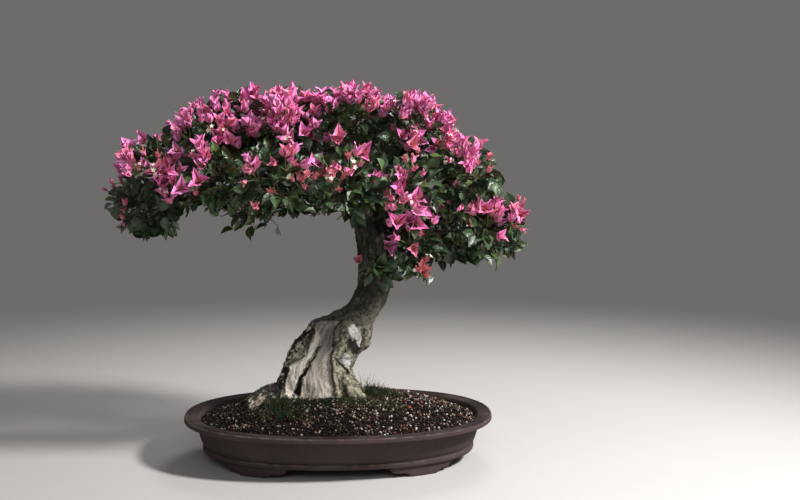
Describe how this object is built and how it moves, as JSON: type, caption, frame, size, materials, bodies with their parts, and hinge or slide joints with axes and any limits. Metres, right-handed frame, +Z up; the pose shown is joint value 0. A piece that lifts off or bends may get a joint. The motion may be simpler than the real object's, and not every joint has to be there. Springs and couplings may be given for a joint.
{
  "type": "bougainvillea bonsai",
  "caption": "Flowering bougainvillea bonsai: leaning trunk with bare deadwood, wide leafy crown with bunches of magenta bracts, in a footed oval clay pot of grit.",
  "frame": {"origin": "On the table, under the middle of the whole tree's box; the pot's own middle is 38 mm towards +X, because the crown reaches further left", "axes": "+Z up, the tree's front faces -Y, +X runs along the pot to the right as seen from the front"},
  "size_m": [0.827, 0.499, 0.7379],
  "materials": {
    "clay": "unglazed, matte, dark red-brown",
    "drain_mesh": "matte dark grey-green",
    "grit": "loose mixed grains, matte",
    "bark": "rough living bark and silvery bare deadwood",
    "leaf": "smooth, slightly glossy foliage",
    "bract": "thin, papery, matte magenta",
    "young_bract": "thin, papery, matte coral"
  },
  "bodies": {
    "root": {"pot": "clay", "drain_mesh_left": "drain_mesh", "drain_mesh_right": "drain_mesh", "grit": "grit", "trunk": "bark", "leafy_pad_far_left": "leaf", "leafy_pad_left_front": "leaf", "leafy_pad_left_back": "leaf", "leafy_pad_mid_left_front": "leaf", "leafy_pad_mid_left_top": "leaf", "leafy_pad_mid_left_back": "leaf", "leafy_pad_left_under": "leaf", "leafy_pad_centre_left_front": "leaf", "leafy_pad_centre_left_top": "leaf", "leafy_pad_centre_left_back": "leaf", "leafy_pad_centre_front": "leaf", "leafy_pad_centre_top": "leaf", "leafy_pad_centre_back": "leaf", "leafy_pad_centre_right_front": "leaf", "leafy_pad_centre_right_top": "leaf", "leafy_pad_centre_right_back": "leaf", "leafy_pad_right_front": "leaf", "leafy_pad_right_back": "leaf", "leafy_pad_low_right_end": "leaf", "leafy_pad_low_right_middle": "leaf", "leafy_pad_low_right_inner": "leaf", "leafy_pad_neck": "leaf", "bloom_bunch_01": "bract", "bloom_bunch_02": "bract", "bloom_bunch_03": "bract", "bloom_bunch_04": "bract", "bloom_bunch_05": "bract", "bloom_bunch_06": "bract", "bloom_bunch_07": "bract", "bloom_bunch_08": "bract", "bloom_bunch_09": "bract", "bloom_bunch_10": "bract", "bloom_bunch_11": "bract", "bloom_bunch_12": "young_bract", "bloom_bunch_13": "bract", "bloom_bunch_14": "bract", "bloom_bunch_15": "young_bract", "bloom_bunch_16": "bract", "bloom_bunch_17": "bract", "bloom_bunch_18": "bract", "bloom_bunch_19": "bract", "bloom_bunch_20": "bract", "bloom_bunch_21": "bract", "bloom_bunch_22": "bract", "bloom_bunch_23": "young_bract", "bloom_bunch_24": "bract", "bloom_bunch_25": "bract", "bloom_bunch_26": "bract", "bloom_bunch_27": "bract", "bloom_bunch_28": "bract", "bloom_bunch_29": "bract", "bloom_bunch_30": "bract", "bloom_bunch_31": "bract", "bloom_bunch_32": "young_bract", "bloom_bunch_33": "bract"}
  },
  "joints": []
}
